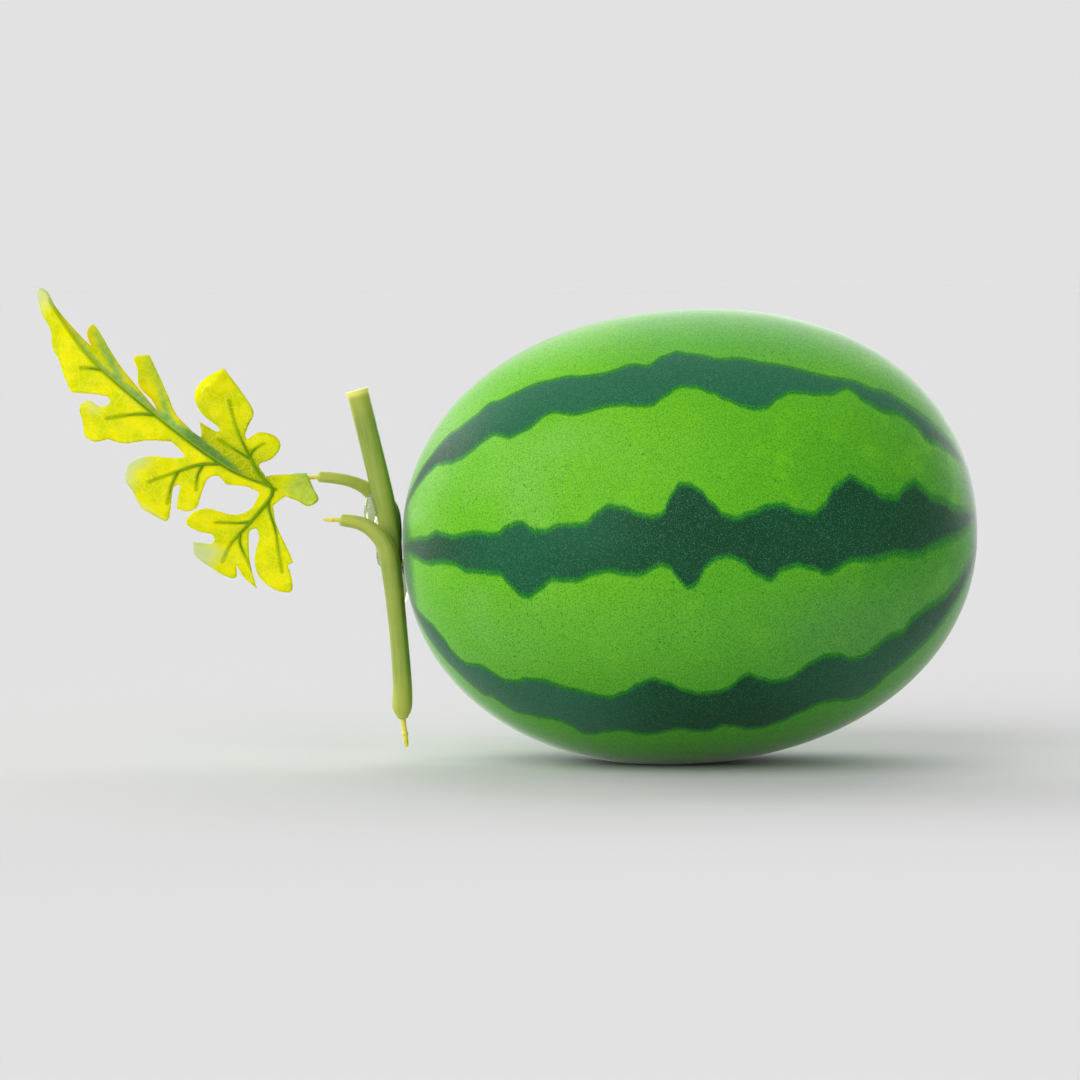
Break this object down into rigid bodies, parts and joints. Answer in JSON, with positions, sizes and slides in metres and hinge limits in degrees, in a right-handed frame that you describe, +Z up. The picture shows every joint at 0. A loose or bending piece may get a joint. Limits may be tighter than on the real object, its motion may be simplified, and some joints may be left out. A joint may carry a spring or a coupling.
{
  "type": "artificial watermelon",
  "caption": "Display watermelon lying on a small flat spot, striped oval fruit with a push-together moulded vine and a lobed cloth leaf.",
  "frame": {"origin": "middle of the flat spot that the fruit rests on", "axes": "+Z up out of the resting surface, +X from the stem end to the blossom end, -Y towards the ribbed face of the leaf"},
  "size_m": [0.4073, 0.1974, 0.2061],
  "materials": {
    "fruit_skin": "satin moulded shell with airbrushed dark stripes",
    "stem_green": "satin moulded plastic with lengthwise mould lines",
    "peg_yellow": "unpainted moulded plastic",
    "leaf_cloth": "thin translucent printed cloth",
    "leaf_rib": "moulded ribs pressed onto the cloth",
    "glue_clear": "clear set glue"
  },
  "bodies": {
    "root": {"fruit": "fruit_skin", "fruit_pin": "peg_yellow", "main_stem": "stem_green", "lower_stem": "stem_green", "upper_arm": "stem_green", "lower_stem_peg": "peg_yellow", "lower_arm_peg": "peg_yellow", "upper_arm_peg": "peg_yellow", "leaf_socket": "leaf_rib", "leaf_ribs": "leaf_rib", "leaf_blade": "leaf_cloth", "glue_bead_upper": "glue_clear", "glue_bead_lower": "glue_clear", "glue_bead_fruit": "glue_clear"}
  },
  "joints": []
}
